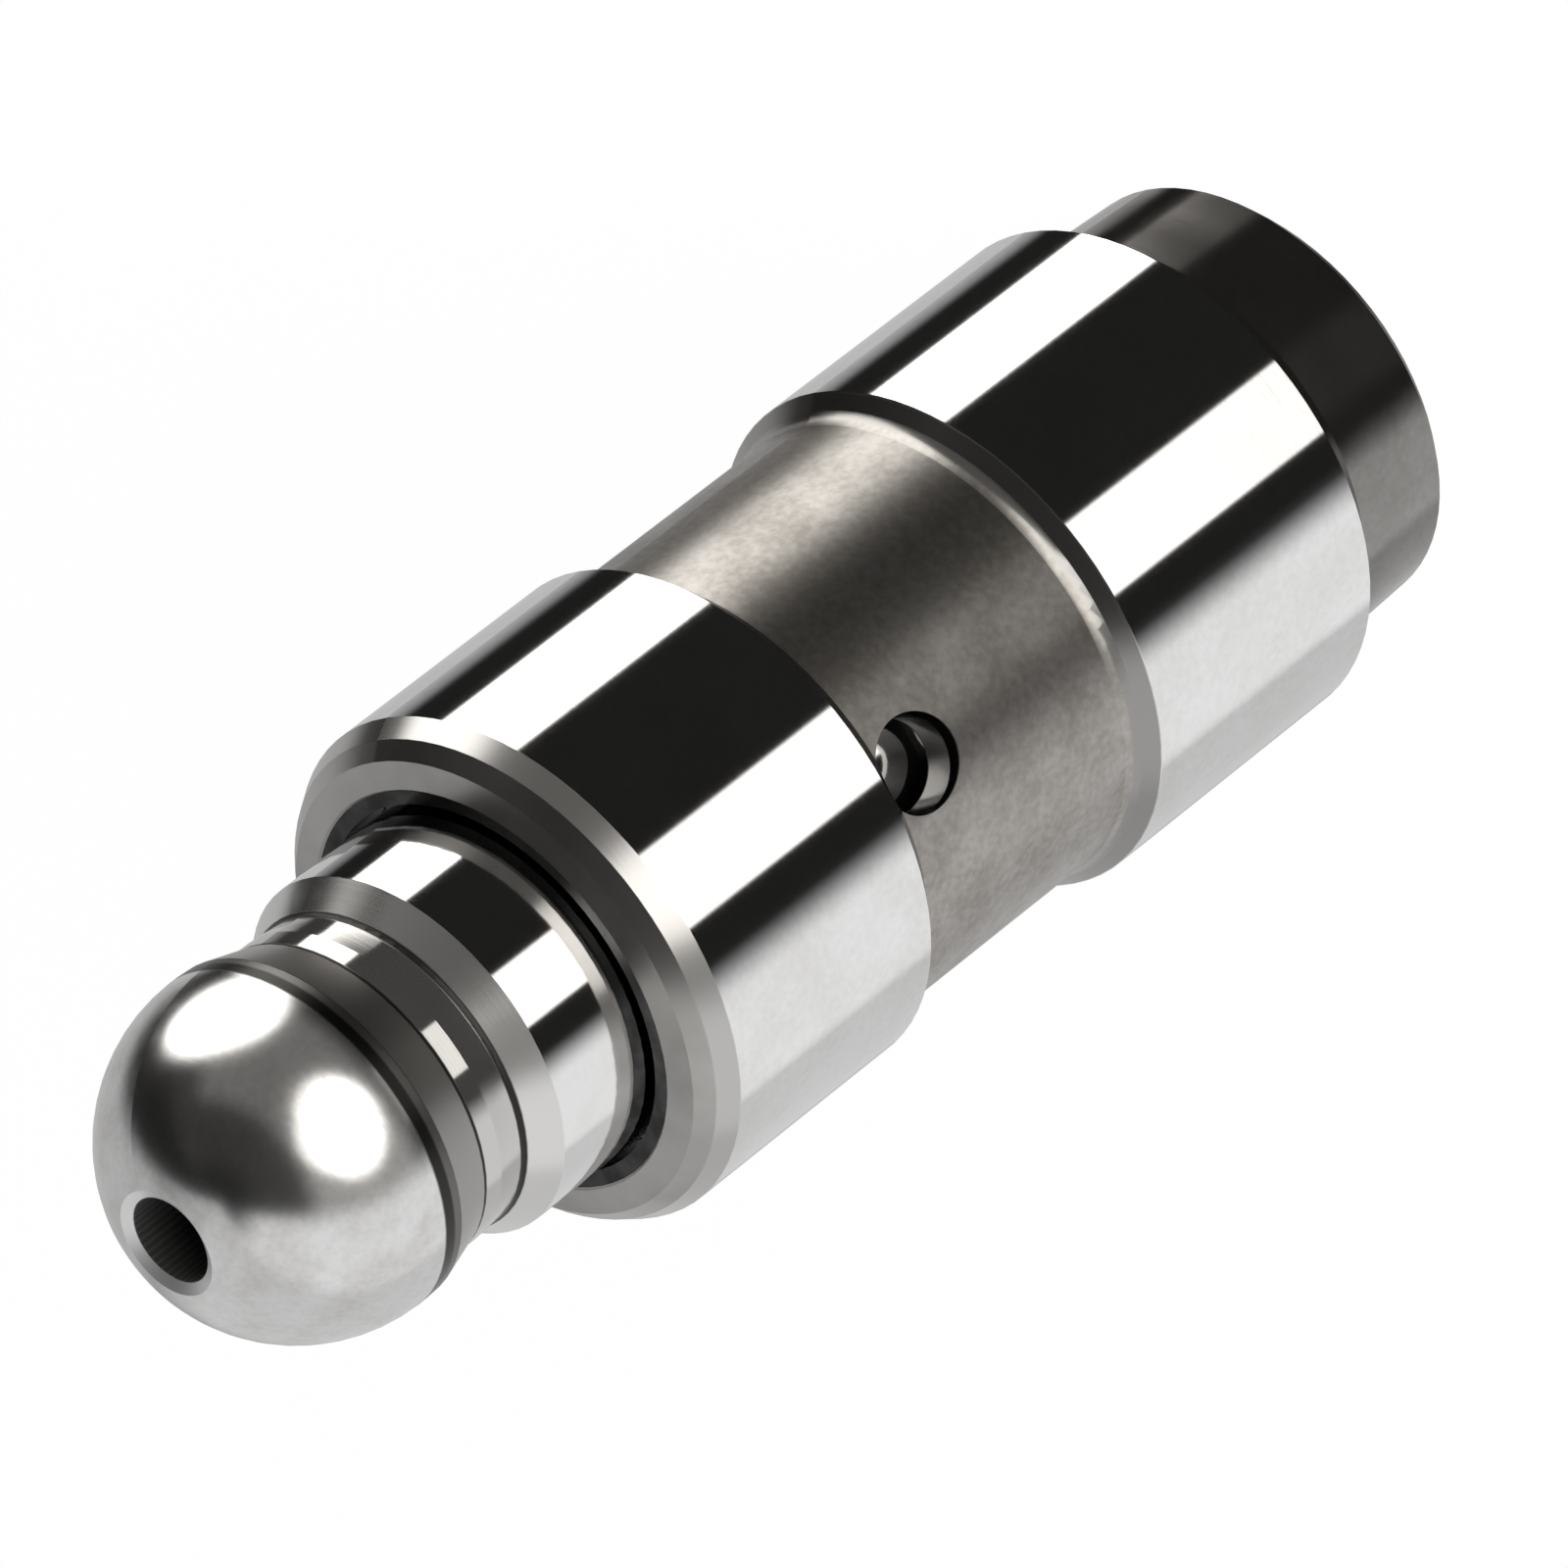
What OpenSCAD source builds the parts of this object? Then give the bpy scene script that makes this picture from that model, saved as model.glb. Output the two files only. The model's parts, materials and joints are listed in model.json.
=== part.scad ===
// Hydraulic valve lifter of the pivot kind: a ball-headed plunger that oil and a spring
// hold out of a ground steel body. Millimetres, standing on its base, +Z along the axis.

/* [Body] */
// Outside diameter of the two ground lands
body_d = 12; // [11.6:0.1:14]
// Height of the tail below the lower land, with its chamfer
tail_h = 3.75; // [3:0.05:5]
// How far the tail's top stands inside the lands, on the radius
tail_step = 0.76; // [0.4:0.02:1]
// How much the tail tapers in to the base, on the radius
tail_taper = 0.12; // [0:0.02:0.3]
// Chamfer round the edge of the base
base_chamfer = 0.3; // [0.1:0.05:0.5]
// Height of the lower land
lower_land_h = 6.9; // [5.5:0.1:8]
// Height of the oil groove between the lands, with its flanks
groove_h = 7.5; // [6:0.1:9]
// Depth of the oil groove
groove_depth = 0.45; // [0.2:0.05:0.6]
// Fillet at the lower flank of the oil groove
groove_fillet = 0.5; // [0.2:0.05:0.8]
// Height of the upper land up to the front face
upper_land_h = 6.9; // [6:0.1:7.6]
// How far the front face falls from the mouth to its edge
face_fall = 0.09; // [0.02:0.01:0.2]
// Chamfer round the front face
rim_chamfer = 0.33; // [0.2:0.01:0.5]
// Height of the lead-in cone between that chamfer and the upper land
rim_lead_h = 0.46; // [0.3:0.02:0.7]
// Angle of the lead-in cone to the axis
rim_lead_angle = 30; // [15:1:35]
// Wall between the bore and the lands
body_wall = 1.4; // [1.3:0.05:1.6]
// Thickness of the floor under the bore
floor_t = 2.9; // [2:0.1:3.1]
// Chamfer left in the bottom corner of the bore
bore_corner = 0.5; // [0.2:0.1:0.8]

/* [Oil feed hole] */
// Diameter of the feed hole in the oil groove
feed_d = 2.06; // [1.6:0.02:2.4]
// Distance of the feed hole's centre below the upper land
feed_drop = 1.36; // [1.3:0.02:2]
// Width of the countersink round the feed hole
feed_sink = 0.08; // [0.04:0.02:0.2]
// Depth of that countersink below the groove's crown
feed_sink_depth = 0.26; // [0.2:0.02:0.5]

/* [Mouth and retaining ring] */
// Step from the bore out to the mouth, on the radius
mouth_step = 0.13; // [0.1:0.01:0.2]
// Chamfer on the mouth's inner edge
mouth_chamfer = 0.05; // [0.02:0.01:0.1]
// Depth of the ring's outer edge below the front face
ring_set = 0.06; // [0.02:0.01:0.3]
// Height of the ring
ring_h = 1.2; // [0.8:0.05:1.6]
// How far the ring's top dishes down to the stem
ring_dish = 0.02; // [0.01:0.01:0.2]
// Gap between the ring and the stem
ring_play = 0.14; // [0.1:0.01:0.2]
// Gap round the ring in the mouth, which a real press fit closes
ring_fit = 0.01; // [0.005:0.005:0.02]
// Gap between the ring and the plunger's shoulder at full height
stop_gap = 0.05; // [0.02:0.01:0.1]

/* [Plunger] */
// Radial clearance of the plunger in the bore
fit_clearance = 0.015; // [0.01:0.005:0.05]
// Height from the shoulder down to the plunger's lower face
guide_h = 9.2; // [8.8:0.1:9.8]
// Step from the guide in to the polished stem, on the radius
stem_step = 0.335; // [0.25:0.005:0.36]
// Height of the polished stem
stem_h = 3.88; // [3.2:0.02:5]
// Height of the cone between the stem and the neck
cone_h = 0.72; // [0.5:0.02:1.2]
// Diameter of the neck at the foot of its taper
neck_foot_d = 7.48; // [7.2:0.02:7.56]
// Height of the tapered part of the neck
neck_taper_h = 0.7; // [0.5:0.02:1.2]
// Fillet between that taper and the cone
neck_fillet = 0.2; // [0.1:0.05:0.5]
// Diameter of the straight part of the neck
neck_d = 7.58; // [7.5:0.02:7.8]
// Height of the straight part of the neck
neck_h = 0.5; // [0.3:0.02:1]
// Height of the undercut cone between the neck and the ball
root_h = 1.1; // [0.5:0.05:1.4]
// Diameter of the ball head
ball_d = 8.25; // [8.1:0.05:9]
// Height of the ball's centre above its lower edge
ball_rise = 0.4; // [0.1:0.02:0.6]
// Diameter of the oil outlet through the ball
outlet_d = 2; // [1.4:0.05:2.4]
// Width of the countersink round the outlet
outlet_sink = 0.24; // [0.04:0.02:0.3]
// Angle of that countersink
sink_angle = 120; // [90:5:140]
// Diameter of the oil reservoir inside the plunger
reservoir_d = 5.8; // [5:0.1:6.2]
// Height of the reservoir inside the upper plunger
reservoir_h = 12.6; // [11:0.1:13]
// Angle of the drill point at the reservoir's end
drill_point = 118; // [90:1:140]
// How far the plunger can be pushed in
plunger_travel = 2.8; // [2:0.1:3]
// Depth of the oil groove round the plunger
oil_groove_depth = 0.3; // [0.2:0.05:0.4]
// How far that groove reaches past the feed hole at either end of the travel
oil_groove_margin = 0.2; // [0.1:0.05:0.3]
// Diameter of the inlet from that groove to the reservoir
inlet_d = 1.6; // [1:0.1:2]
// Chamfer on the edges of the guide faces
guide_chamfer = 0.15; // [0.05:0.05:0.25]

/* [Check valve] */
// Height of the lower plunger
lower_h = 5.9; // [5.4:0.1:6.2]
// Depth of the recess under the lower plunger
recess_h = 1; // [0.6:0.1:1.4]
// Thickness of the wall that holds the valve seat
seat_t = 2; // [1.4:0.1:2.6]
// Diameter of the valve port
port_d = 2; // [1.4:0.1:2.1]
// Height of the conical seat
seat_h = 0.85; // [0.75:0.05:1]
// Diameter of the check ball
check_ball_d = 3; // [2.9:0.05:3.3]
// Gap between the check ball and its seat
seat_gap = 0.02; // [0.01:0.01:0.04]
// Thickness of the cage's sheet metal
cage_t = 0.3; // [0.2:0.05:0.4]
// Room for the check ball inside the cage, on the radius
cage_play = 0.25; // [0.15:0.05:0.35]
// Depth of the cage below the seat wall
cage_h = 2.9; // [2.8:0.05:3.2]
// Diameter of the drain in the cage's floor
drain_d = 1.2; // [0.8:0.1:1.3]
// Play of the cage's flange in its recess
flange_play = 0.1; // [0.05:0.01:0.2]
// Windows in the cage
cage_windows = 3; // [2:1:4]
// Width of a window
window_w = 1.3; // [0.8:0.1:1.6]
// Height of a window
window_h = 1.3; // [0.8:0.1:1.6]

/* [Springs] */
// Wire of the return spring
return_wire_d = 0.7; // [0.5:0.05:0.8]
// Turns of the return spring
return_turns = 4.5; // [4:0.5:5]
// Gap between the return spring and the cage
return_gap = 0.3; // [0.2:0.05:0.5]
// Room for the return spring in the plunger's recess, on the radius
recess_play = 0.35; // [0.2:0.05:0.6]
// Wire of the check ball's spring
check_wire_d = 0.2; // [0.15:0.01:0.24]
// Turns of the check ball's spring
check_turns = 4; // [3:0.5:5]
// Radius of the check ball's spring at the middle of its wire
check_coil_r = 0.75; // [0.6:0.05:1]
// Gap between a spring and its seats
spring_gap = 0.02; // [0.01:0.01:0.04]

/* [Hidden] */
$fn = 128;
past = 1;
coil_sides = 10;
steps_per_turn = 24;
closed_turn = 1;
closed_pitch = 1.04;
flank_angle = 45;

// Body, from the base up
body_r = body_d / 2;
tail_r = body_r - tail_step;
base_r = tail_r - tail_taper;
groove_r = body_r - groove_depth;
bore_r = body_r - body_wall;
mouth_r = bore_r + mouth_step;
lower_land_top = tail_h + lower_land_h;
upper_land_foot = lower_land_top + groove_h;
body_h = upper_land_foot + upper_land_h;
feed_z = upper_land_foot - feed_drop;
groove_foot = lower_land_top + groove_depth;
fillet_reach = groove_fillet * tan(flank_angle / 2);
face_z = body_h - face_fall;
chamfer_z = face_z - rim_chamfer;
rim_z = chamfer_z - rim_lead_h;
chamfer_r = body_r - rim_lead_h * tan(rim_lead_angle);

// Plunger's radii, then the ring that stops it
guide_r = bore_r - fit_clearance;
stem_r = guide_r - stem_step;
neck_r = neck_d / 2;
neck_foot_r = neck_foot_d / 2;
ball_r = ball_d / 2;
outlet_r = outlet_d / 2;
reservoir_r = reservoir_d / 2;
ring_in_r = stem_r + ring_play;
ring_out_r = mouth_r - ring_fit;
ring_top = body_h - ring_set;
mouth_foot = ring_top - ring_h;

// Plunger's heights, down and up from the shoulder under the ring
shoulder_z = mouth_foot - stop_gap;
upper_foot = shoulder_z - guide_h;
lower_foot = upper_foot - lower_h;
seat_z = lower_foot + recess_h;
port_z = seat_z + seat_h;
reservoir_floor = seat_z + seat_t;
cone_z = shoulder_z + stem_h;
taper_z = cone_z + cone_h;
neck_z = taper_z + neck_taper_h;
root_z = neck_z + neck_h;
ball_foot = root_z + root_h;
ball_z = ball_foot + ball_rise;
cone_turn = atan2(stem_r - neck_foot_r, cone_h);
taper_turn = atan2(neck_r - neck_foot_r, neck_taper_h);
neck_reach = neck_fillet * tan((cone_turn + taper_turn) / 2);
ball_foot_r = sqrt(ball_r ^ 2 - ball_rise ^ 2);
sink_r = outlet_r + outlet_sink;
tip_z = ball_z + sqrt(ball_r ^ 2 - sink_r ^ 2);
reservoir_top = upper_foot + reservoir_h;
drill_z = reservoir_top + (reservoir_r - outlet_r) / tan(drill_point / 2);
oil_groove_r = guide_r - oil_groove_depth;
oil_groove_foot = feed_z - feed_d / 2 - oil_groove_margin;
oil_groove_top = feed_z + feed_d / 2 + plunger_travel + oil_groove_margin;

// Check valve and springs, out from the ball
check_ball_r = check_ball_d / 2;
port_r = port_d / 2;
check_ball_z = port_r + port_z - sqrt(2) * (check_ball_r + seat_gap);
cage_r = check_ball_r + cage_play;
cage_floor = seat_z - cage_h;
return_wire_r = return_wire_d / 2;
return_r = cage_r + cage_t + return_gap + return_wire_r;
recess_r = return_r + return_wire_r + recess_play;
check_wire_r = check_wire_d / 2;
check_reach = check_ball_r + check_wire_r + spring_gap;
check_top = check_ball_z - sqrt(check_reach ^ 2 - check_coil_r ^ 2);

// Outer half section of the body, with an exact arc for the groove's fillet
module body_outline() {
  difference() {
    polygon([
      [0, 0], [base_r - base_chamfer, 0], [base_r, base_chamfer],
      [tail_r, tail_h - tail_step], [body_r, tail_h], [body_r, lower_land_top],
      [groove_r + fillet_reach * sin(flank_angle), groove_foot - fillet_reach * cos(flank_angle)],
      [groove_r, groove_foot + fillet_reach], [groove_r, upper_land_foot - groove_depth],
      [body_r, upper_land_foot], [body_r, rim_z], [chamfer_r, chamfer_z],
      [chamfer_r - rim_chamfer, face_z], [mouth_r + mouth_chamfer, body_h], [0, body_h]
    ]);
    translate([groove_r + groove_fillet, groove_foot + fillet_reach]) circle(r = groove_fillet);
  }
}

// Blind bore, with the wider mouth that the ring sits in
module bore_outline() {
  polygon([
    [0, floor_t], [bore_r - bore_corner, floor_t], [bore_r, floor_t + bore_corner],
    [bore_r, mouth_foot], [mouth_r, mouth_foot], [mouth_r, body_h - mouth_chamfer],
    [mouth_r + mouth_chamfer, body_h], [mouth_r + mouth_chamfer, body_h + past], [0, body_h + past]
  ]);
}

// Feed hole through the wall on the -Y side, with its countersink
module feed_hole() {
  translate([0, 0, feed_z])
  rotate([90, 0, 0]) {
    translate([0, 0, bore_r - past]) cylinder(d = feed_d, h = body_wall + 2 * past);
    translate([0, 0, groove_r - feed_sink_depth])
    cylinder(
      r1 = feed_d / 2, h = feed_sink_depth + past,
      r2 = feed_d / 2 + feed_sink * (1 + past / feed_sink_depth)
    );
  }
}

module body() {
  color([0.72, 0.72, 0.7])
  difference() {
    rotate_extrude() difference() {
      body_outline();
      bore_outline();
    }
    feed_hole();
  }
}

// Dark collar pressed into the mouth: its foot stops the plunger's shoulder
module retaining_ring() {
  color([0.2, 0.2, 0.21])
  rotate_extrude()
  polygon([
    [ring_in_r, mouth_foot], [ring_out_r, mouth_foot],
    [ring_out_r, ring_top], [ring_in_r, ring_top - ring_dish]
  ]);
}

// Outer half section of the upper plunger below the ball
module plunger_outline() {
  neck_arc = [neck_foot_r, taper_z] + neck_reach * [sin(taper_turn), cos(taper_turn)];
  difference() {
    polygon([
      [0, upper_foot], [guide_r - guide_chamfer, upper_foot],
      [guide_r, upper_foot + guide_chamfer], [guide_r, oil_groove_foot],
      [oil_groove_r, oil_groove_foot], [oil_groove_r, oil_groove_top],
      [guide_r, oil_groove_top], [guide_r, shoulder_z], [stem_r, shoulder_z], [stem_r, cone_z],
      [neck_foot_r, taper_z] + neck_reach * [sin(cone_turn), -cos(cone_turn)], neck_arc,
      [neck_r, neck_z], [neck_r, root_z], [ball_foot_r, ball_foot], [0, ball_z]
    ]);
    translate(neck_arc + neck_fillet * [cos(taper_turn), -sin(taper_turn)]) circle(r = neck_fillet);
  }
}

// Reservoir, drill point, oil outlet and the outlet's countersink
module reservoir_outline() {
  polygon([
    [0, upper_foot - past], [reservoir_r, upper_foot - past], [reservoir_r, reservoir_top],
    [outlet_r, drill_z], [outlet_r, tip_z - outlet_sink / tan(sink_angle / 2)],
    [sink_r, tip_z], [sink_r, ball_z + ball_r + past], [0, ball_z + ball_r + past]
  ]);
}

// Upper plunger: ball head, neck, stem, guide and the oil reservoir inside
module ball_plunger() {
  color([0.66, 0.66, 0.65])
  difference() {
    rotate_extrude() difference() {
      union() {
        plunger_outline();
        intersection() {
          translate([0, ball_z]) circle(r = ball_r);
          translate([0, ball_foot]) square([ball_r + past, ball_rise + ball_r + past]);
        }
      }
      reservoir_outline();
    }
    translate([0, 0, (oil_groove_foot + oil_groove_top) / 2])
    rotate([-90, 0, 0])
    cylinder(d = inlet_d, h = guide_r + past);
  }
}

// Lower plunger: slides with the upper one, holds the valve seat under the reservoir
module lower_plunger() {
  color([0.6, 0.6, 0.6])
  rotate_extrude()
  polygon([
    [recess_r, lower_foot], [guide_r - guide_chamfer, lower_foot],
    [guide_r, lower_foot + guide_chamfer], [guide_r, upper_foot - guide_chamfer],
    [guide_r - guide_chamfer, upper_foot], [reservoir_r, upper_foot],
    [reservoir_r, reservoir_floor], [port_r, reservoir_floor], [port_r, port_z],
    [port_r + seat_h, seat_z], [recess_r, seat_z]
  ]);
}

module check_ball() {
  color([0.8, 0.8, 0.82])
  translate([0, 0, check_ball_z])
  sphere(r = check_ball_r);
}

// Pressed cup that keeps the check ball under its seat, held up by the return spring
module check_cage() {
  drain_r = drain_d / 2;
  window_z = (cage_floor + seat_z - cage_t) / 2;
  color([0.55, 0.52, 0.45])
  difference() {
    rotate_extrude()
    polygon([
      [drain_r, cage_floor - cage_t], [cage_r + cage_t, cage_floor - cage_t],
      [cage_r + cage_t, seat_z - cage_t], [recess_r - flange_play, seat_z - cage_t],
      [recess_r - flange_play, seat_z], [cage_r, seat_z], [cage_r, cage_floor],
      [drain_r, cage_floor]
    ]);
    for (k = [0 : cage_windows - 1])
      rotate([0, 0, k * 360 / cage_windows])
      translate([cage_r - past, -window_w / 2, window_z - window_h / 2])
      cube([cage_t + 2 * past, window_w, window_h]);
  }
}

// Height along a coil: the first and last turn lie closed, the others share what is left
function coil_z(t, turns, wire_r, foot, top) =
  let (
    rise = min(2 * wire_r * closed_pitch, (top - foot) / turns),
    open = (top - foot - 2 * rise * closed_turn) / (turns - 2 * closed_turn),
    low = min(t, closed_turn),
    high = max(0, t - turns + closed_turn)
  )
  foot + rise * (low + high) + open * (t - low - high);

// Round wire swept along such a coil, between the seats at foot and top
module coil(coil_r, wire_r, turns, foot, top) {
  count = round(turns * steps_per_turn);
  points = [
    for (k = [0 : count], j = [0 : coil_sides - 1])
      let (
        t = k / steps_per_turn,
        bead = 360 * j / coil_sides,
        reach = coil_r + wire_r * cos(bead)
      )
      [
        reach * cos(360 * t), reach * sin(360 * t),
        coil_z(t, turns, wire_r, foot, top) + wire_r * sin(bead)
      ]
  ];
  sides = [
    for (k = [0 : count - 1], j = [0 : coil_sides - 1])
      let (next = (j + 1) % coil_sides, here = k * coil_sides, ahead = here + coil_sides)
      [here + j, ahead + j, ahead + next, here + next]
  ];
  first_end = [for (j = [0 : coil_sides - 1]) j];
  last_end = [for (j = [coil_sides - 1 : -1 : 0]) count * coil_sides + j];
  polyhedron(points, concat(sides, [first_end, last_end]), convexity = 10);
}

module check_spring() {
  color([0.5, 0.5, 0.52])
  coil(check_coil_r, check_wire_r, check_turns, cage_floor + check_wire_r + spring_gap, check_top);
}

module return_spring() {
  color([0.42, 0.42, 0.44])
  coil(
    return_r, return_wire_r, return_turns,
    floor_t + return_wire_r + spring_gap, seat_z - cage_t - return_wire_r - spring_gap
  );
}

body();
retaining_ring();
ball_plunger();
lower_plunger();
check_ball();
check_cage();
check_spring();
return_spring();
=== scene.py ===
import json
import math

import bpy
from mathutils import Matrix, Vector


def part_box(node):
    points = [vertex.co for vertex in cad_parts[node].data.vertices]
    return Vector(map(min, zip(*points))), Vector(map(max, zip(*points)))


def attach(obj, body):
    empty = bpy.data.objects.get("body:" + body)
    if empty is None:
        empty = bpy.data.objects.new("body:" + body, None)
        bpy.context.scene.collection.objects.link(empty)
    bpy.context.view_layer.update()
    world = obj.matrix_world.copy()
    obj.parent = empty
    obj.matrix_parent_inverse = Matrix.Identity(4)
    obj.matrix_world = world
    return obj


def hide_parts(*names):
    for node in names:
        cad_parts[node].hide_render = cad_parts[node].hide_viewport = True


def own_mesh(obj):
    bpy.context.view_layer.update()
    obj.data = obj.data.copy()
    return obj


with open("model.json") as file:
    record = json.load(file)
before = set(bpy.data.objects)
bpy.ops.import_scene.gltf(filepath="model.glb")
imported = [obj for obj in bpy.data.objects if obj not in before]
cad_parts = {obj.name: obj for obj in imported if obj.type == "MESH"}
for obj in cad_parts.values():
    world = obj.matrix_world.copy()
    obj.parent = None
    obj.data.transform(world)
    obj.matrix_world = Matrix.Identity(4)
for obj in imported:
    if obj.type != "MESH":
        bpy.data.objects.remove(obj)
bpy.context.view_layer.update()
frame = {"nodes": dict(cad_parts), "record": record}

scene = bpy.context.scene
nodes = frame["nodes"]
mm = 0.001


# shader maths: one class round a socket, so that masks read as plain expressions
class Wire:
    def __init__(self, tree, socket=None):
        self.tree = tree
        self.socket = socket

    def make(self, kind, settings=None, values=None, out=0):
        made = self.tree.nodes.new(kind)
        for name, value in (settings or {}).items():
            setattr(made, name, value)
        for key, value in (values or {}).items():
            if isinstance(value, Wire):
                self.tree.links.new(value.socket, made.inputs[key])
            else:
                made.inputs[key].default_value = value
        return Wire(self.tree, made.outputs[out])

    def beside(self, out):  # another output of the same node
        return Wire(self.tree, self.socket.node.outputs[out])

    def maths(self, operation, *terms):
        return self.make("ShaderNodeMath", {"operation": operation}, dict(enumerate(terms)))

    def __add__(self, other):
        return self.maths("ADD", self, other)

    def __radd__(self, other):
        return self.maths("ADD", other, self)

    def __sub__(self, other):
        return self.maths("SUBTRACT", self, other)

    def __rsub__(self, other):
        return self.maths("SUBTRACT", other, self)

    def __mul__(self, other):
        return self.maths("MULTIPLY", self, other)

    def __rmul__(self, other):
        return self.maths("MULTIPLY", other, self)

    def __truediv__(self, other):
        return self.maths("DIVIDE", self, other)

    def __rtruediv__(self, other):
        return self.maths("DIVIDE", other, self)

    def __pow__(self, other):
        return self.maths("POWER", self, other)

    def rise(self, low, high):  # smooth step from 0 at low to 1 at high
        return self.make("ShaderNodeMapRange", {"interpolation_type": "SMOOTHSTEP"},
                         {"Value": self, "From Min": low, "From Max": high, "To Min": 0.0, "To Max": 1.0})

    def band(self, low, high, soft):  # 1 between low and high, soft at both ends
        return self.rise(low - soft, low + soft) * (1 - self.rise(high - soft, high + soft))

    def mixed(self, first, second):  # this wire is the share of the second colour
        return self.make("ShaderNodeMix", {"data_type": "RGBA"}, {0: self, 6: first, 7: second}, out=2)

    def noise(self, scale, detail, rough=0.55, squash=(1, 1, 1)):
        spread = self.make("ShaderNodeVectorMath", {"operation": "MULTIPLY"}, {0: self, 1: squash})
        return self.make("ShaderNodeTexNoise", None,
                         {"Vector": spread, "Scale": scale, "Detail": detail, "Roughness": rough})


# what all the steel finishes share: clouds of tone, fine grain and lines left by grinding
steel = {
    "cloudDetail": 4.0, "cloudRange": (0.35, 0.7), "cloudRough": 0.12,
    "fineDetail": 2.0, "lineScale": 300, "lineSquash": (1, 1, 60), "lineRough": 0.03,
    "edge": 0.02,  # mm over which one zone passes into the next
    "sameRing": 0.002,  # mm by which the rings of one wall may differ in radius
}


def newMaterial(name):
    material = bpy.data.materials.new(name)
    material.use_nodes = True
    tree = material.node_tree
    shader = tree.nodes["Principled BSDF"]
    shader.inputs["Metallic"].default_value = 1.0
    place = Wire(tree).make("ShaderNodeTexCoord", out="Object")
    return material, shader, place


def feed(wire, shader, socket):
    wire.tree.links.new(wire.socket, shader.inputs[socket])


def grey(level, warmth=0.0):
    return (level * (1 + warmth), level, level * (1 - warmth), 1)


def roundPlace(place):  # radius and height of a point, in millimetres
    split = place.make("ShaderNodeSeparateXYZ", None, {0: place})
    x, y, z = [split.beside(axis) / mm for axis in "XYZ"]
    return (x * x + y * y) ** 0.5, z


def rings(name):  # every ring of the turned solid, as (height, radius) in millimetres
    points = set()
    for vertex in nodes[name].data.vertices:
        x, y, z = vertex.co
        points.add((round(z / mm, 3), round(math.hypot(x, y) / mm, 3)))
    return sorted(points)


def plain(look, name):  # colour and roughness of a zone without pattern
    return look[name], look[name + "Rough"]


def paintZones(shader, zones, colour, rough):
    for share, zoneColour, zoneRough in zones:
        colour = share.mixed(colour, zoneColour)
        rough = rough + share * (zoneRough - rough)
    feed(colour, shader, "Base Color")
    feed(rough, shader, "Roughness")


def addBump(shader, relief, look):
    values = {"Strength": look["bumpStrength"], "Distance": look["bumpDepth"], "Height": relief}
    feed(relief.make("ShaderNodeBump", None, values, out="Normal"), shader, "Normal")


def dress(name, material):
    nodes[name].data.materials.clear()
    nodes[name].data.materials.append(material)


# the ground lands, the dull oil groove, the rim and the tail of the body
bodyLook = {
    "land": grey(0.82), "landGrain": grey(0.72, 0.01), "landRough": 0.05,
    "groove": grey(0.45, 0.04), "grooveStain": grey(0.28, 0.08), "grooveRough": 0.33,
    "flank": grey(0.32, 0.03), "flankRough": 0.22,
    # the wall of the feed hole is painted dark grey: painted shade inside the hole
    "drill": grey(0.16, 0.02), "drillRough": 0.18,
    "lead": grey(0.5, 0.02), "leadRough": 0.2,
    "face": grey(0.44, 0.03), "faceStreak": grey(0.32, 0.04), "faceRough": 0.26,
    "tail": grey(0.33, 0.03), "tailStain": grey(0.26, 0.05), "tailRough": 0.12, "tailDull": 0.05,
    # the bore inside the body is painted near black: painted shade in the hollow
    "bore": grey(0.05), "boreRough": 0.5,
    "grainScale": 5200, "grainShare": 0.4, "blotchScale": 520, "blotchShare": 0.6, "blotchRough": 0.1,
    "stainRange": (0.3, 0.7), "streakScale": 260, "streakSquash": (1, 1, 0.35),
    "bumpStrength": 0.15, "bumpDepth": 0.02 * mm, "lineRelief": 0.1,
    "grooveClear": 1.0, "leadClear": 0.1, "boreClear": 0.5,  # mm kept off these edges in the search for rings
}


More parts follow.
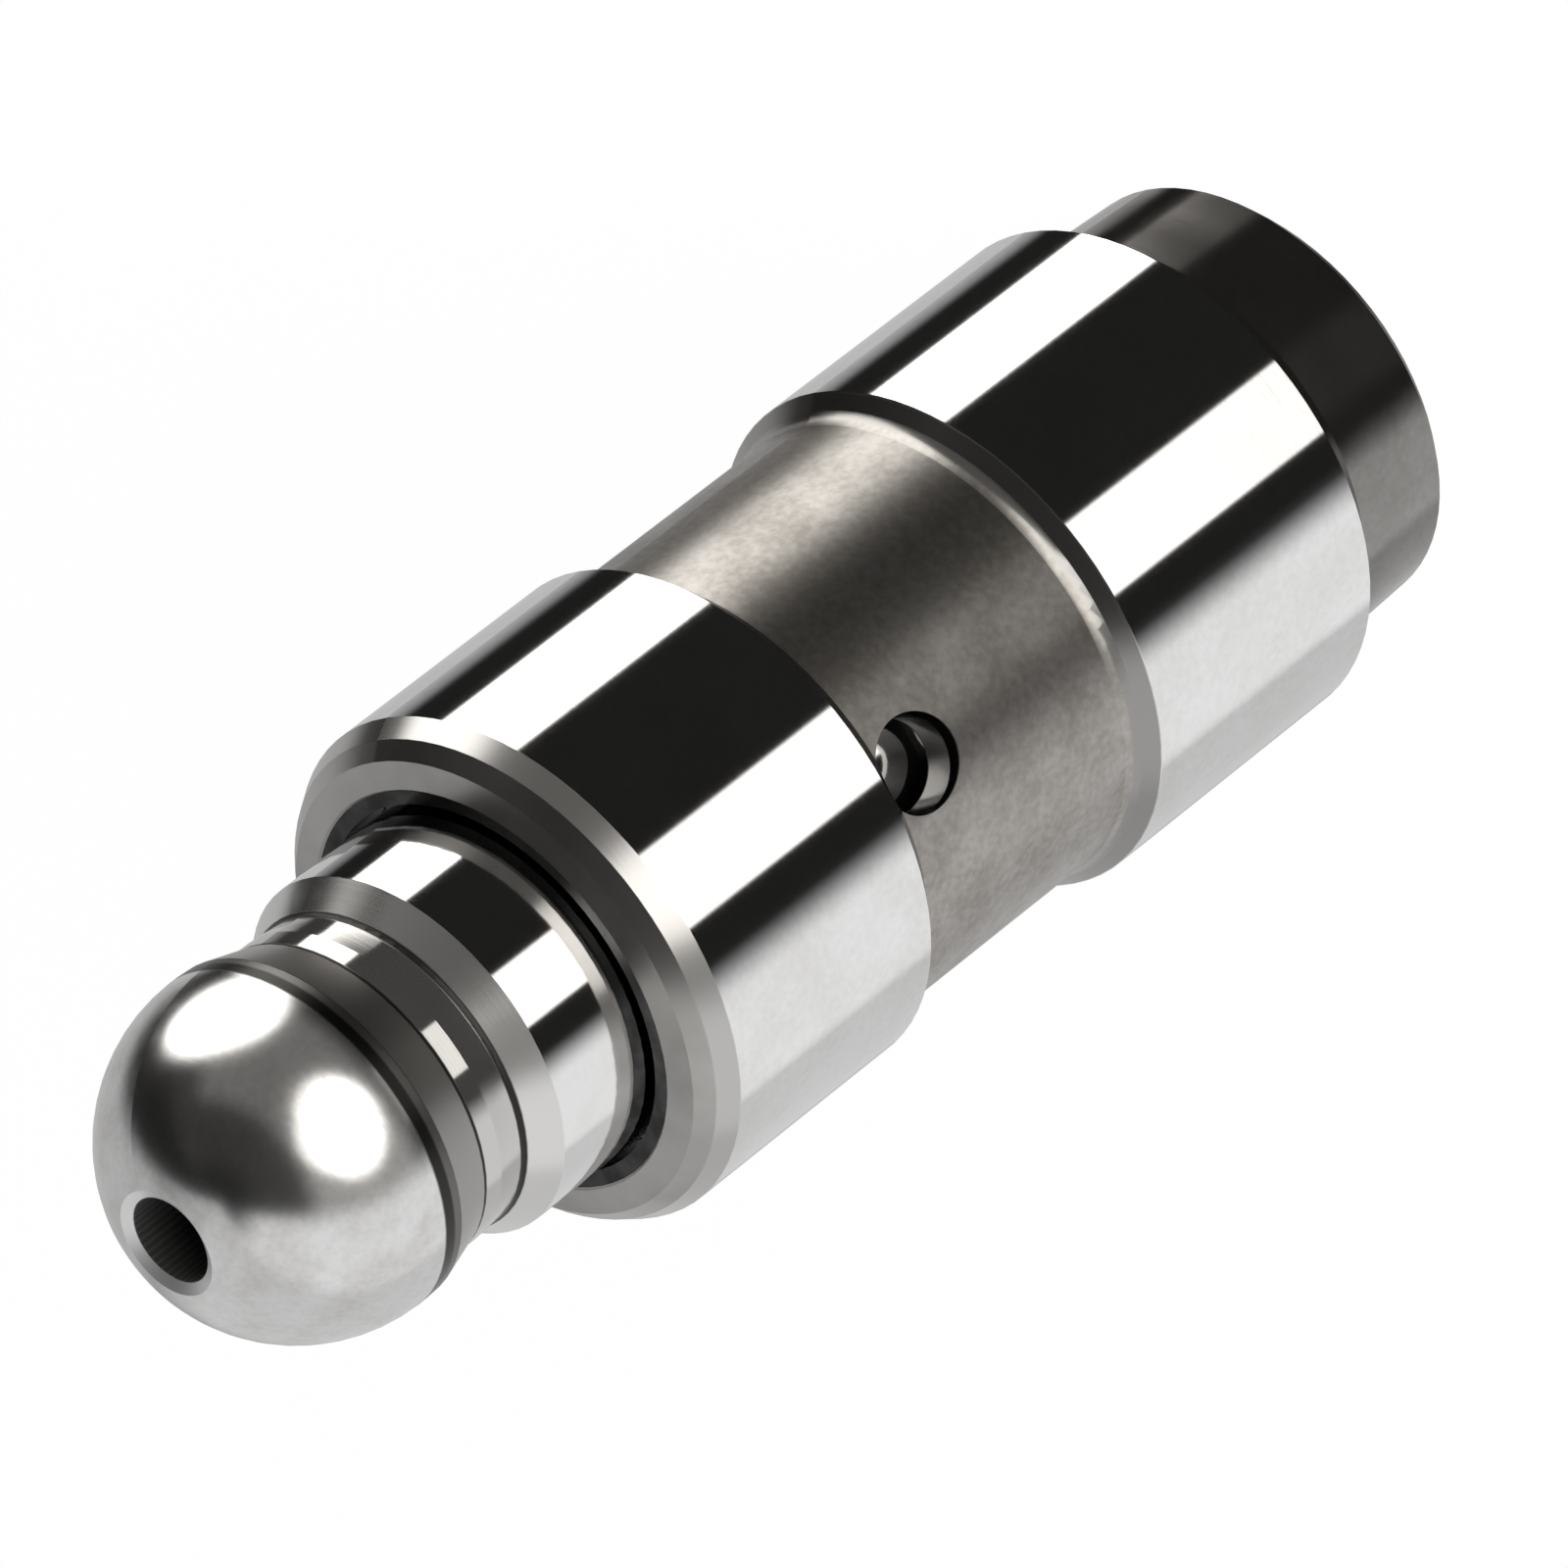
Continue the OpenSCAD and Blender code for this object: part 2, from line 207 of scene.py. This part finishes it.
def bodyMaterial():
    look = bodyLook
    outline = rings("body")
    bodyRadius = max(radius for height, radius in outline)
    landHeights = [height for height, radius in outline if radius > bodyRadius - steel["sameRing"]]
    tailTop, leadFoot = min(landHeights), max(landHeights)
    middle = (tailTop + leadFoot) / 2
    grooveFoot = max(height for height in landHeights if height < middle)
    grooveTop = min(height for height in landHeights if height > middle)
    clear = look["grooveClear"]
    grooveRadius = max(radius for height, radius in outline if grooveFoot + clear < height < grooveTop - clear)
    boreRadius = min(radius for height, radius in outline if height > middle)
    rimHeights = [height for height, radius in outline if radius > boreRadius + look["boreClear"]]
    leadTop = min(height for height in rimHeights if height > leadFoot + look["leadClear"])
    material, shader, place = newMaterial("groundBodySteel")
    radius, height = roundPlace(place)
    edge = steel["edge"]
    grain = place.noise(look["grainScale"], steel["fineDetail"])
    blotch = place.noise(look["blotchScale"], steel["cloudDetail"])
    streaks = place.noise(look["streakScale"], steel["cloudDetail"], squash=look["streakSquash"])
    lines = place.noise(steel["lineScale"], steel["fineDetail"], squash=steel["lineSquash"])
    stain = (blotch * look["blotchShare"] + grain * look["grainShare"]).rise(*look["stainRange"])
    streaked = streaks.rise(*steel["cloudRange"]).mixed(look["face"], look["faceStreak"])
    groove = height.band(grooveFoot + edge, grooveTop - edge, edge)
    grooveRough = look["grooveRough"] + (blotch - 0.5) * look["blotchRough"]
    flank = groove * radius.rise(grooveRadius + edge, grooveRadius + 3 * edge)
    # mask of the feed hole's wall, where the painted shade goes
    drill = groove * (1 - radius.rise(grooveRadius - 2 * edge, grooveRadius - edge))
    tail = 1 - height.rise(tailTop - edge, tailTop)
    zones = [  # share, colour, roughness: each zone covers the ones before it
        (groove, stain.mixed(look["groove"], look["grooveStain"]), grooveRough),
        (flank, *plain(look, "flank")),
        (drill, *plain(look, "drill")),
        (height.rise(leadFoot - edge, leadFoot + edge), *plain(look, "lead")),
        (height.rise(leadTop - edge, leadTop + edge), streaked, look["faceRough"]),
        (tail, stain.mixed(look["tail"], look["tailStain"]), look["tailRough"]),
        # painted shade: the bore's wall is near black
        (1 - radius.rise(boreRadius + edge, boreRadius + 2 * edge), *plain(look, "bore")),
    ]
    ground = stain.mixed(look["land"], look["landGrain"])
    paintZones(shader, zones, ground, look["landRough"] + lines * steel["lineRough"])
    feed(1 - tail * look["tailDull"], shader, "Metallic")
    addBump(shader, blotch * groove + lines * look["lineRelief"], look)
    return material


# polished stem, satin ball with a dark ring and a darker band at its middle that are painted shade, and dull
# neck of the plunger
plungerLook = {
    "stem": grey(0.8), "stemCloud": grey(0.7, 0.02), "stemRough": 0.06, "stemMottle": 0.5,
    "cone": grey(0.68, 0.01), "coneRough": 0.2,
    "neck": grey(0.62, 0.02), "neckRough": 0.075, "neckDull": 0.14,
    "root": grey(0.6, 0.03), "rootRough": 0.34,
    # painted shade: the creases at both ends of the neck are painted near black
    "crease": grey(0.04, 0.03), "creaseRough": 0.4, "creaseHalf": 0.045,
    "ball": grey(0.74), "ballCloud": grey(0.58, 0.02), "ballRough": 0.19,
    # painted shade: a near-black ring round the ball's middle and a dark band just below it
    "ring": grey(0.04, 0.03), "ringRough": 0.3, "ringLow": -0.2, "ringHigh": 0.09,
    "lowerBallShade": grey(0.17, 0.03), "lowerBallShadeRough": 0.36, "lowerBallShadeLow": -0.42,
    "outlet": grey(0.8), "outletRough": 0.45, "outletSoft": 0.1,
    # painted shade: the outlet bore in the ball is painted near black
    "inside": grey(0.008, 0.2), "insideRough": 1.0,
    "grainScale": 6000, "grainShare": 0.3, "cloudScale": 800, "cloudShare": 0.7,
    "bumpStrength": 0.1, "bumpDepth": 0.01 * mm, "lineRelief": 0.3,
    "stemClear": 0.01,  # mm above the stem from where the head's rings are counted
    "ballShare": 0.99, "waistShares": (0.8, 0.93),  # radius of these rings in ball radii
}


def plungerMaterial():
    look = plungerLook
    outline = rings("ball_plunger")
    faceTop = max(height for height, radius in rings("body"))
    shown = [(height, radius) for height, radius in outline if height > faceTop]
    stemRadius = max(radius for height, radius in shown)
    stemTop = max(height for height, radius in shown if radius > stemRadius - steel["sameRing"])
    above = [(height, radius) for height, radius in shown if height > stemTop + look["stemClear"]]
    outletRadius = min(radius for height, radius in above)
    tip, tipRadius = max(above)
    ballRadius = max(radius for height, radius in above)
    ballFoot, footRadius = min(ring for ring in above if ring[1] > look["ballShare"] * ballRadius)
    ballMiddle = (tip ** 2 + tipRadius ** 2 - ballFoot ** 2 - footRadius ** 2) / (tip - ballFoot) / 2
    least, most = look["waistShares"]
    below = [(height, radius) for height, radius in above if height < ballFoot]
    waist = [(height, radius) for height, radius in below if least < radius / ballRadius < most]
    neckTop = max(height for height, radius in waist)
    neckFoot = min((radius, height) for height, radius in waist)[1]
    material, shader, place = newMaterial("polishedPlungerSteel")
    radius, height = roundPlace(place)
    edge = steel["edge"]
    crease = look["creaseHalf"]
    grain = place.noise(look["grainScale"], steel["fineDetail"])
    cloud = place.noise(look["cloudScale"], steel["cloudDetail"])
    lines = place.noise(steel["lineScale"], steel["fineDetail"], squash=steel["lineSquash"])
    mottle = (cloud.rise(*steel["cloudRange"]) * look["cloudShare"]
              + grain.rise(*steel["cloudRange"]) * look["grainShare"])
    clouded = mottle.mixed(look["ball"], look["ballCloud"])
    ballRough = look["ballRough"] + (cloud - 0.5) * steel["cloudRough"]
    neck = height.band(neckFoot, neckTop, edge)
    ring = height.band(ballMiddle + look["ringLow"], ballMiddle + look["ringHigh"], 2 * edge)
    nearAxis = 1 - radius.rise(tipRadius - edge / 2, tipRadius + edge / 2)
    inBore = 1 - radius.rise(outletRadius - edge / 2, outletRadius + edge)
    zones = [  # share, colour, roughness: each zone covers the ones before it
        (height.rise(stemTop - edge, stemTop + edge), *plain(look, "cone")),
        (neck, *plain(look, "neck")),
        (height.rise(neckTop - edge, neckTop + edge), *plain(look, "root")),
        # painted shade in the creases at the neck's top and foot
        (height.band(neckTop - crease, neckTop + crease, edge), *plain(look, "crease")),
        (height.band(neckFoot - 3 * crease, neckFoot + edge, edge), *plain(look, "crease")),
        (height.rise(ballMiddle - edge, ballMiddle + edge), clouded, ballRough),
        # painted shade just below the ball's middle, with the near-black painted-shade ring over it
        (height.band(ballMiddle + look["lowerBallShadeLow"], ballMiddle, edge), *plain(look, "lowerBallShade")),
        (ring, *plain(look, "ring")),
        (nearAxis * height.rise(ballMiddle, tip), *plain(look, "outlet")),
        # painted shade inside the outlet bore
        (inBore * height.rise(stemTop, stemTop + look["outletSoft"]), *plain(look, "inside")),
    ]
    polished = (mottle * look["stemMottle"]).mixed(look["stem"], look["stemCloud"])
    paintZones(shader, zones, polished, look["stemRough"] + lines * steel["lineRough"])
    feed(1 - neck * look["neckDull"], shader, "Metallic")
    outside = radius.rise(outletRadius, outletRadius + look["outletSoft"])
    addBump(shader, (lines * look["lineRelief"] + cloud) * outside, look)
    return material


# the collar, painted near black as shade of the gap at the mouth, and the pieces inside: drawn wire, pressed
# sheet, fine-ground piston and bearing ball
innerLooks = {
    # painted shade: the collar is painted near black for the gap round the stem
    "collarGapShade": {"nodes": ("retaining_ring",), "pale": grey(0.07), "dark": grey(0.03, 0.03),
                    "scale": 1500, "rough": 0.25},
    "drawnWire": {"nodes": ("check_spring", "return_spring"), "pale": grey(0.36),
                  "dark": grey(0.24, 0.03), "scale": 1500, "rough": 0.32},
    "pressedSheet": {"nodes": ("check_cage",), "pale": grey(0.56, 0.04), "dark": grey(0.42, 0.08),
                     "scale": 900, "rough": 0.38},
    "groundPiston": {"nodes": ("lower_plunger",), "pale": grey(0.66), "dark": grey(0.56),
                     "scale": 700, "rough": 0.16},
    "bearingBall": {"nodes": ("check_ball",), "pale": grey(0.82), "dark": grey(0.74),
                    "scale": 600, "rough": 0.05},
}


def innerMaterial(name, look):
    material, shader, place = newMaterial(name)
    cloud = place.noise(look["scale"], steel["cloudDetail"])
    feed(cloud.rise(*steel["cloudRange"]).mixed(look["pale"], look["dark"]), shader, "Base Color")
    feed(look["rough"] + (cloud - 0.5) * steel["cloudRough"], shader, "Roughness")
    return material


# the springs stand as copies of their meshes on their bodies; the share of height each would keep at full
# travel, from its fixed end, is worked out and printed
def softSpring(joint, soft):
    name = soft["node"]
    piece = bpy.data.objects.new(name.split("_")[0] + "Coil", nodes[name].data.copy())
    scene.collection.objects.link(piece)
    bodies = frame["record"]["behaviour"]["bodies"]
    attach(piece, next(body for body, held in bodies.items() if name in held))
    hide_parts(name)
    fixedEnd = soft["fixed_end_z_m"]
    travel = max(abs(limit) for limit in joint["range_m"])
    keep = 1 - travel / (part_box(name)[1][2] - fixedEnd)
    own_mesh(piece)
    print(piece.name, "keeps", round(keep, 3), "of its height")


# camera as found from the photograph: azimuth from -Y towards +X, aim below the front face
camera = {
    "azimuth": 18.0, "elevation": 34.85, "roll": -127.95,
    "distance": 336.8 * mm, "aimDrop": 8.96 * mm, "aimSide": -0.355 * mm,
    "lens": 371.8, "sensor": 36.0, "near": 0.01, "far": 20,
}


def cameraAxes():
    turn, lift = math.radians(camera["azimuth"]), math.radians(camera["elevation"])
    back = Vector((math.sin(turn) * math.cos(lift), -math.cos(turn) * math.cos(lift), math.sin(lift)))
    right = Vector((math.cos(turn), math.sin(turn), 0))
    return right, back.cross(right), back


def placeCamera():
    data = bpy.data.cameras.new("camera")
    data.lens = camera["lens"]
    data.sensor_width = camera["sensor"]
    data.clip_start, data.clip_end = camera["near"], camera["far"]
    holder = bpy.data.objects.new("camera", data)
    scene.collection.objects.link(holder)
    right, up, back = cameraAxes()
    roll = math.radians(camera["roll"])
    turnedRight = right * math.cos(roll) + up * math.sin(roll)
    turnedUp = back.cross(turnedRight)
    faceTop = max(height for height, radius in rings("body")) * mm
    middle = Vector((0, 0, faceTop - camera["aimDrop"])) + right * camera["aimSide"]
    matrix = Matrix((turnedRight, turnedUp, back)).transposed().to_4x4()
    matrix.translation = middle + back * camera["distance"]
    holder.matrix_world = matrix
    scene.camera = holder


# studio round the part, by azimuth from the camera (to its left) and elevation, in degrees:
# open sides show the white background, dark cards and lamps stand in front of the rest of it
studio = {
    "dark": 0.015, "tint": (1.02, 1.0, 0.96),
    "open": [
        {"from": -184, "to": -137, "low": -46, "high": 100, "bright": 0.55, "soft": 8},
        {"from": 55, "to": 116, "low": -46, "high": 72, "bright": 0.92, "soft": 10},
        {"from": 95, "to": 178, "low": -46, "high": 110, "bright": 0.7, "soft": 16},
        {"from": 50, "to": 178, "low": -88, "high": -40, "bright": 0.42, "soft": 8},
    ],
    "panels": [
        {"from": -80, "to": 20, "low": -25, "high": 38, "bright": 0.17, "soft": 8},
        {"from": 20, "to": 62, "low": -25, "high": 38, "bright": 0.34, "soft": 8},
        {"from": -100, "to": 50, "low": 25, "high": 70, "bright": 0.03, "soft": 10},
        {"from": -111.5, "to": -73, "low": -38.8, "high": -31, "bright": 3.0, "soft": 1.5},
        {"from": -6, "to": 29, "low": -37.9, "high": -32.4, "bright": 1.5, "soft": 0.8},
    ],
    "roundLamps": [  # soft in shares of the lamp's half width
        {"from": -22, "to": 39, "low": -18, "high": 30, "bright": 2.4, "soft": 0.08},
        {"from": -13, "to": 32, "low": 0, "high": 34, "bright": 1.6, "soft": 0.08},
        {"from": -116, "to": -58, "low": -34, "high": 15, "bright": 2.6, "soft": 0.12},
    ],
}


def rayKinds(base):  # shares of camera, glossy and transmission rays
    path = base.make("ShaderNodeLightPath")
    return [path.beside(kind) for kind in ("Is Camera Ray", "Is Glossy Ray", "Is Transmission Ray")]


def strongest(glows):
    light = glows[0]
    for glow in glows[1:]:
        light = light.maths("MAXIMUM", light, glow)
    return light


def buildStudio():
    world = bpy.data.worlds.new("studio")
    scene.world = world
    world.use_nodes = True
    tree = world.node_tree
    background = tree.nodes["Background"]
    base = Wire(tree)
    ray = base.make("ShaderNodeTexCoord", out="Generated")
    right, up, back = cameraAxes()
    front = Vector((back.x, back.y, 0)).normalized()
    degree = math.degrees(1)

    def reachAlong(axis):
        return base.make("ShaderNodeVectorMath", {"operation": "DOT_PRODUCT"}, {0: ray, 1: axis}, out="Value")

    ahead = reachAlong(tuple(front))
    aside = reachAlong(tuple(-right))
    elevation = base.maths("ARCSINE", reachAlong((0, 0, 1))) * degree

    def turnFrom(panel):  # azimuth counted from the panel's middle
        middle = math.radians((panel["from"] + panel["to"]) / 2)
        along = ahead * math.cos(middle) + aside * math.sin(middle)
        across = aside * math.cos(middle) - ahead * math.sin(middle)
        return base.maths("ARCTAN2", across, along) * degree

    def panelGlow(panel):
        half = (panel["to"] - panel["from"]) / 2
        wide = turnFrom(panel).band(-half, half, panel["soft"])
        return wide * elevation.band(panel["low"], panel["high"], panel["soft"]) * panel["bright"]

    def roundGlow(lamp):
        wide = turnFrom(lamp) / ((lamp["to"] - lamp["from"]) / 2)
        high = (elevation - (lamp["high"] + lamp["low"]) / 2) / ((lamp["high"] - lamp["low"]) / 2)
        reach = (wide * wide + high * high) ** 0.5
        return (1 - reach.rise(1 - lamp["soft"], 1 + lamp["soft"])) * lamp["bright"]

    glows = [panelGlow(panel) for panel in studio["panels"]]
    glows += [roundGlow(lamp) for lamp in studio["roundLamps"]]
    light = strongest(glows) + studio["dark"]
    tinted = base.make("ShaderNodeVectorMath", {"operation": "SCALE"}, {0: studio["tint"], "Scale": light})
    straight, glossy, through = rayKinds(base)
    openSide = strongest([panelGlow(panel) for panel in studio["open"]])
    seen = strongest([straight, glossy * openSide, through])
    feed(seen.mixed(tinted, grey(1.0)), background, "Color")


# pale floor: white to the camera, with the part's soft shadow on it
floor = {"size": 6.0, "white": 0.9, "glow": 0.75, "bright": 1.29}


def buildFloor():
    half = floor["size"] / 2
    corners = [(-half, -half, 0), (half, -half, 0), (half, half, 0), (-half, half, 0)]
    mesh = bpy.data.meshes.new("floor")
    mesh.from_pydata(corners, [], [(0, 1, 2, 3)])
    ground = bpy.data.objects.new("floor", mesh)
    scene.collection.objects.link(ground)
    material, shader, place = newMaterial("paleFloor")
    shader.inputs["Metallic"].default_value = 0.0
    shader.inputs["Roughness"].default_value = 1.0
    shader.inputs["Specular IOR Level"].default_value = 0.0
    shader.inputs["Base Color"].default_value = grey(floor["white"])
    matt = Wire(place.tree, shader.outputs[0])
    glow = place.make("ShaderNodeEmission", None, {"Color": grey(1.0), "Strength": floor["bright"]})
    seen = strongest(rayKinds(place)) * floor["glow"]
    mix = place.make("ShaderNodeMixShader", None, {0: seen, 1: matt, 2: glow})
    feed(mix, place.tree.nodes["Material Output"], "Surface")
    ground.data.materials.append(material)
    ground.visible_glossy = False  # the ground lands mirror the studio's panels


dress("body", bodyMaterial())
dress("ball_plunger", plungerMaterial())
for innerName, innerLook in innerLooks.items():
    innerSteel = innerMaterial(innerName, innerLook)
    for nodeName in innerLook["nodes"]:
        dress(nodeName, innerSteel)
print("steel finishes done")
for joint in frame["record"]["behaviour"]["joints"]:
    for soft in joint["deforming_nodes"]:
        softSpring(joint, soft)
print("springs done")
buildStudio()
buildFloor()
print("studio and floor done")
placeCamera()
print("camera done")
scene.view_settings.view_transform = "Standard"
